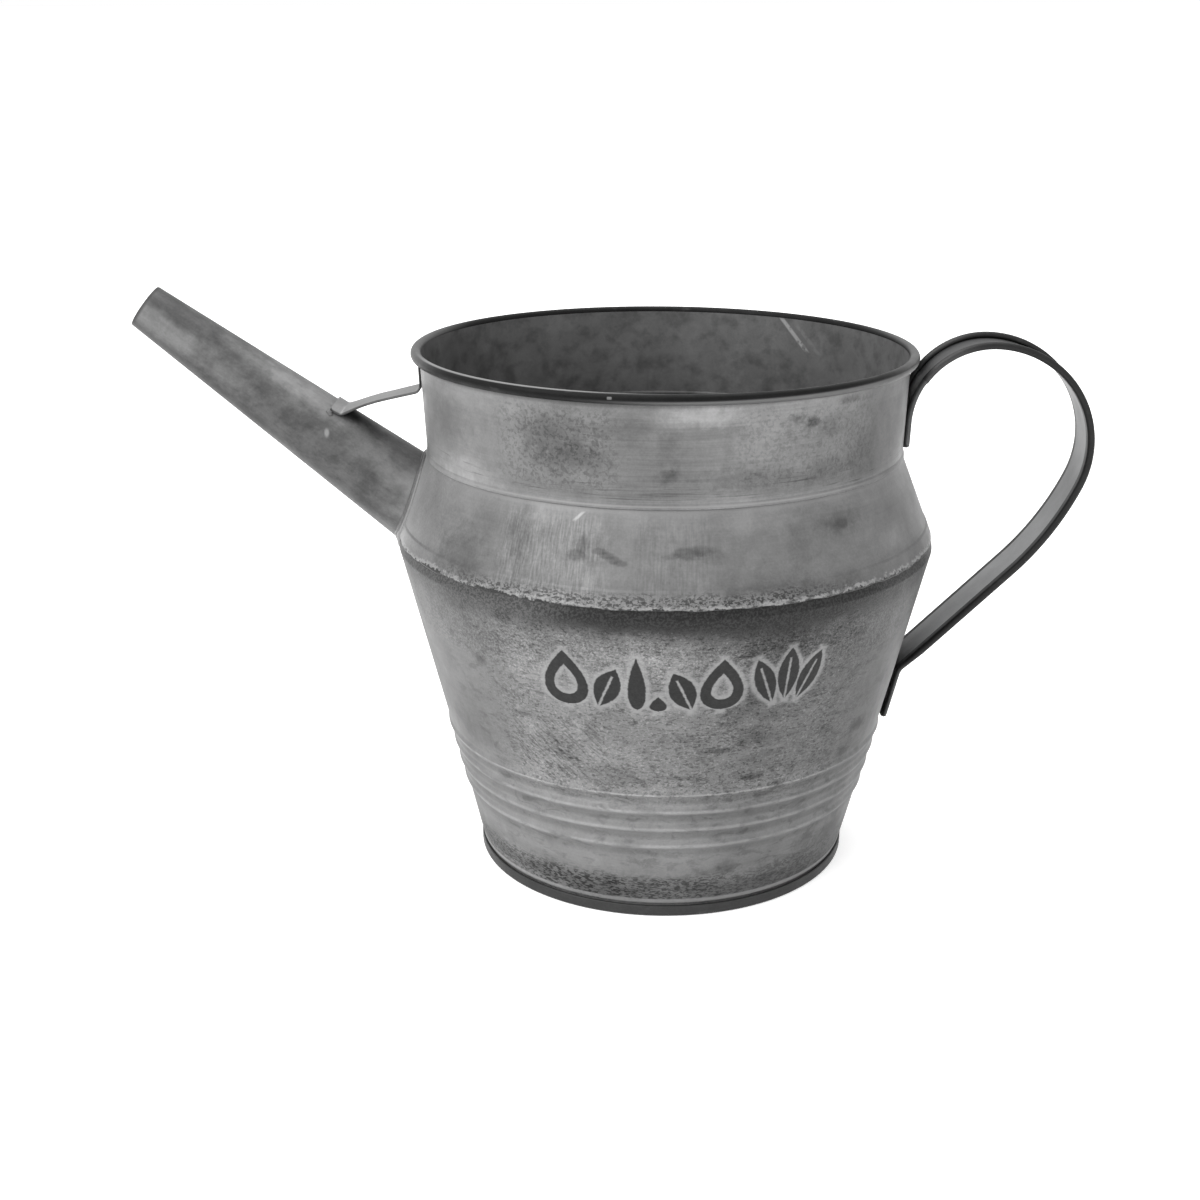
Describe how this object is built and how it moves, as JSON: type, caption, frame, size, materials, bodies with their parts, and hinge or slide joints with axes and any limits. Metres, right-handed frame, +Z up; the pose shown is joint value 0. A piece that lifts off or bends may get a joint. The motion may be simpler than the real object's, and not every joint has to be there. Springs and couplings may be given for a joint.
{
  "type": "watering can",
  "caption": "Galvanised watering can: ribbed conical body, sloped shoulder, wide open neck, straight braced spout, tall strap handle.",
  "frame": {"origin": "centre of the base hoop's underside, on the ground plane and on the body's turning axis", "axes": "+Z up along the body's turning axis, +X from the can towards the handle, -X towards the spout, +Y completes the right hand"},
  "size_m": [0.3386, 0.1926, 0.2079],
  "materials": {
    "galvanised_sheet": "weathered zinc, mottled and brushed, satin to matt",
    "handle_sheet": "weathered zinc with dark rolled edges",
    "dark_edge": "dark patinated zinc, worn lighter along the top",
    "bright_strip": "plain light zinc",
    "solder": "dull grey soft solder"
  },
  "bodies": {
    "root": {"lower_shell": "galvanised_sheet", "shoulder_shell": "galvanised_sheet", "neck_collar": "galvanised_sheet", "rim_wire": "dark_edge", "base_disc": "galvanised_sheet", "base_hoop": "dark_edge", "spout_tube": "galvanised_sheet", "spout_flange": "bright_strip", "spout_solder": "solder", "spout_brace": "bright_strip", "brace_tacks": "solder", "handle_strap": "handle_sheet", "handle_wire_front": "dark_edge", "handle_wire_back": "dark_edge"}
  },
  "joints": []
}
